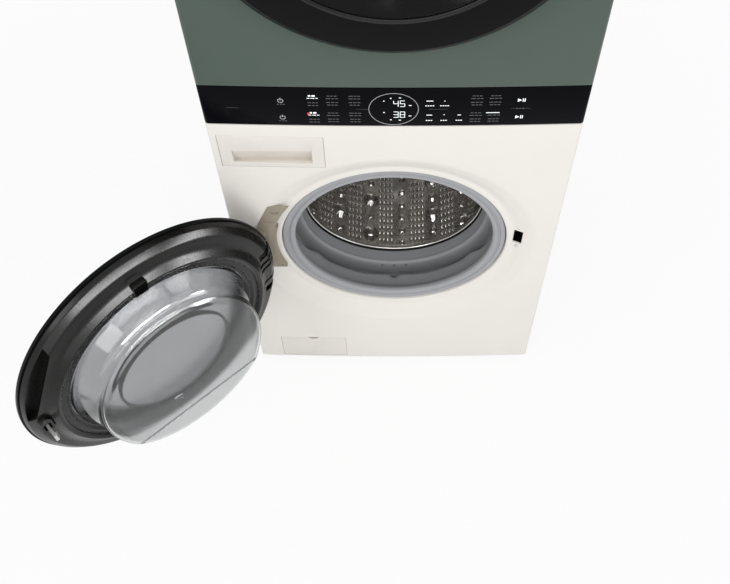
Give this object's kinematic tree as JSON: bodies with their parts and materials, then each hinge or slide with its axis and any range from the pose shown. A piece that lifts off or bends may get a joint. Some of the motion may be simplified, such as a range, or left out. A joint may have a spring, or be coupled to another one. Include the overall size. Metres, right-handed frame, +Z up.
{
  "type": "stacked washer dryer",
  "caption": "One-piece laundry tower: front-loading washer with its round glass door open, dryer above with its door shut, flush touch panel between, detergent drawer and service flap.",
  "frame": {"origin": "centre of the front left levelling foot's pad, on the floor", "axes": "+Z up, -Y out of the front, +X to the right as seen from the front"},
  "size_m": [1.0536, 1.2091, 1.889],
  "materials": {
    "base_pan": "moulded",
    "levelling_feet": "moulded",
    "left_side_panel": "satin",
    "right_side_panel": "satin",
    "top_cover": "satin",
    "washer_back_cover": "galvanised",
    "dryer_back_cover": "galvanised",
    "mid_deck": "galvanised",
    "washer_front_panel": "satin",
    "dryer_front_panel": "satin",
    "control_panel": "gloss",
    "control_board": "moulded",
    "washer_hinge_plate": "satin",
    "dryer_hinge_plate": "satin",
    "washer_door_lock": "moulded",
    "washer_door_cover": "gloss",
    "dryer_door_cover": "gloss",
    "washer_door_window": "tinted",
    "dryer_door_window": "tinted",
    "washer_door_frame": "satin",
    "dryer_door_frame": "satin",
    "washer_door_bowl": "clear",
    "washer_hinge_arm": "satin",
    "dryer_hinge_arm": "satin",
    "washer_door_hook": "plain",
    "drawer_front": "satin",
    "drawer_tray": "moulded",
    "dispenser_housing": "moulded",
    "service_flap": "satin",
    "drain_pump": "moulded",
    "pump_filter": "moulded",
    "outer_tub": "moulded",
    "tub_front_cover": "moulded",
    "door_gasket": "moulded",
    "counterweights": "cast",
    "tub_suspension": "plain",
    "washer_drum": "polished",
    "drum_lifters": "polished",
    "drum_spider": "cast",
    "tub_bearings": "ground",
    "motor_stator": "laminated",
    "motor_rotor": "plain",
    "inner_hoses": "moulded",
    "inlet_valves": "moulded",
    "drain_pipe": "moulded",
    "power_inlet": "moulded",
    "dryer_front_bulkhead": "galvanised",
    "dryer_funnel": "galvanised",
    "lint_filter": "moulded",
    "blower_housing": "moulded",
    "exhaust_duct": "galvanised",
    "dryer_motor": "plain",
    "motor_shaft": "ground",
    "blower_wheel": "moulded",
    "drum_belt": "ribbed",
    "dryer_drum": "satin",
    "dryer_rear_bulkhead": "galvanised",
    "left_drum_roller": "moulded",
    "right_drum_roller": "moulded",
    "heater_duct": "galvanised"
  },
  "bodies": {
    "cabinet": {"base_pan": "base_pan", "levelling_feet": "levelling_feet", "left_side_panel": "left_side_panel", "right_side_panel": "right_side_panel", "top_cover": "top_cover", "washer_back_cover": "washer_back_cover", "dryer_back_cover": "dryer_back_cover", "mid_deck": "mid_deck", "washer_front_panel": "washer_front_panel", "dryer_front_panel": "dryer_front_panel", "control_panel": "control_panel", "control_board": "control_board", "washer_hinge_plate": "washer_hinge_plate", "dryer_hinge_plate": "dryer_hinge_plate", "washer_door_lock": "washer_door_lock", "dispenser_housing": "dispenser_housing", "drain_pump": "drain_pump", "outer_tub": "outer_tub", "tub_front_cover": "tub_front_cover", "door_gasket": "door_gasket", "counterweights": "counterweights", "tub_suspension": "tub_suspension", "tub_bearings": "tub_bearings", "motor_stator": "motor_stator", "inner_hoses": "inner_hoses", "inlet_valves": "inlet_valves", "drain_pipe": "drain_pipe", "power_inlet": "power_inlet", "dryer_front_bulkhead": "dryer_front_bulkhead", "dryer_funnel": "dryer_funnel", "lint_filter": "lint_filter", "blower_housing": "blower_housing", "exhaust_duct": "exhaust_duct", "dryer_motor": "dryer_motor", "drum_belt": "drum_belt", "dryer_rear_bulkhead": "dryer_rear_bulkhead", "heater_duct": "heater_duct"},
    "washer_door": {"washer_door_cover": "washer_door_cover", "washer_door_window": "washer_door_window", "washer_door_frame": "washer_door_frame", "washer_door_bowl": "washer_door_bowl", "washer_hinge_arm": "washer_hinge_arm"},
    "door_hook": {"washer_door_hook": "washer_door_hook"},
    "washer_drum": {"washer_drum": "washer_drum", "drum_lifters": "drum_lifters", "drum_spider": "drum_spider", "motor_rotor": "motor_rotor"},
    "drawer": {"drawer_front": "drawer_front", "drawer_tray": "drawer_tray"},
    "service_flap": {"service_flap": "service_flap"},
    "pump_filter": {"pump_filter": "pump_filter"},
    "dryer_door": {"dryer_door_cover": "dryer_door_cover", "dryer_door_window": "dryer_door_window", "dryer_door_frame": "dryer_door_frame", "dryer_hinge_arm": "dryer_hinge_arm"},
    "dryer_drum": {"dryer_drum": "dryer_drum"},
    "left_roller": {"left_drum_roller": "left_drum_roller"},
    "right_roller": {"right_drum_roller": "right_drum_roller"},
    "dryer_fan": {"blower_wheel": "blower_wheel", "motor_shaft": "motor_shaft"}
  },
  "joints": [
    {"name": "washer_door_hinge", "type": "hinge", "parent": "cabinet", "child": "washer_door", "pos_m": [0.003, -0.096, 0.516], "axis": [0, 0, -1], "range_deg": [-138, 0]},
    {"name": "door_hook_pivot", "type": "hinge", "parent": "washer_door", "child": "door_hook", "pos_m": [-0.38521, -0.47784, 0.533], "axis": [0, 0, -1], "range_deg": [0, 8], "stiffness_Nm_per_rad": 0.6},
    {"name": "washer_drum_spin", "type": "hinge", "parent": "cabinet", "child": "washer_drum", "pos_m": [0.281, 0.298, 0.516], "axis": [0, 1, 0], "continuous": true},
    {"name": "drawer_slide", "type": "slide", "parent": "cabinet", "child": "drawer", "axis": [0, -1, 0], "range_m": [0, 0.28]},
    {"name": "service_flap_hinge", "type": "hinge", "parent": "cabinet", "child": "service_flap", "pos_m": [0.079, -0.0595, 0.034], "axis": [1, 0, 0], "range_deg": [0, 90]},
    {"name": "pump_filter_turn", "type": "hinge", "parent": "cabinet", "child": "pump_filter", "pos_m": [0.079, -0.032, 0.084], "axis": [0, -1, 0], "range_deg": [0, 270]},
    {"name": "dryer_door_hinge", "type": "hinge", "parent": "cabinet", "child": "dryer_door", "pos_m": [0.003, -0.096, 1.4245], "axis": [0, 0, -1], "range_deg": [0, 138]},
    {"name": "dryer_drum_spin", "type": "hinge", "parent": "cabinet", "child": "dryer_drum", "pos_m": [0.281, 0.298, 1.4245], "axis": [0, 1, 0], "continuous": true},
    {"name": "left_roller_spin", "type": "hinge", "parent": "cabinet", "child": "left_roller", "pos_m": [0.10745, 0.593, 1.1239], "axis": [0, 1, 0], "continuous": true},
    {"name": "right_roller_spin", "type": "hinge", "parent": "cabinet", "child": "right_roller", "pos_m": [0.45455, 0.593, 1.1239], "axis": [0, 1, 0], "continuous": true},
    {"name": "dryer_fan_spin", "type": "hinge", "parent": "cabinet", "child": "dryer_fan", "pos_m": [0.506, 0.098, 1.09], "axis": [0, 1, 0], "continuous": true}
  ],
  "couplings": [
    {"joint": "left_roller_spin", "follows": "dryer_drum_spin", "ratio": -12.338},
    {"joint": "right_roller_spin", "follows": "dryer_drum_spin", "ratio": -12.338},
    {"joint": "dryer_fan_spin", "follows": "dryer_drum_spin", "ratio": 23.377}
  ]
}
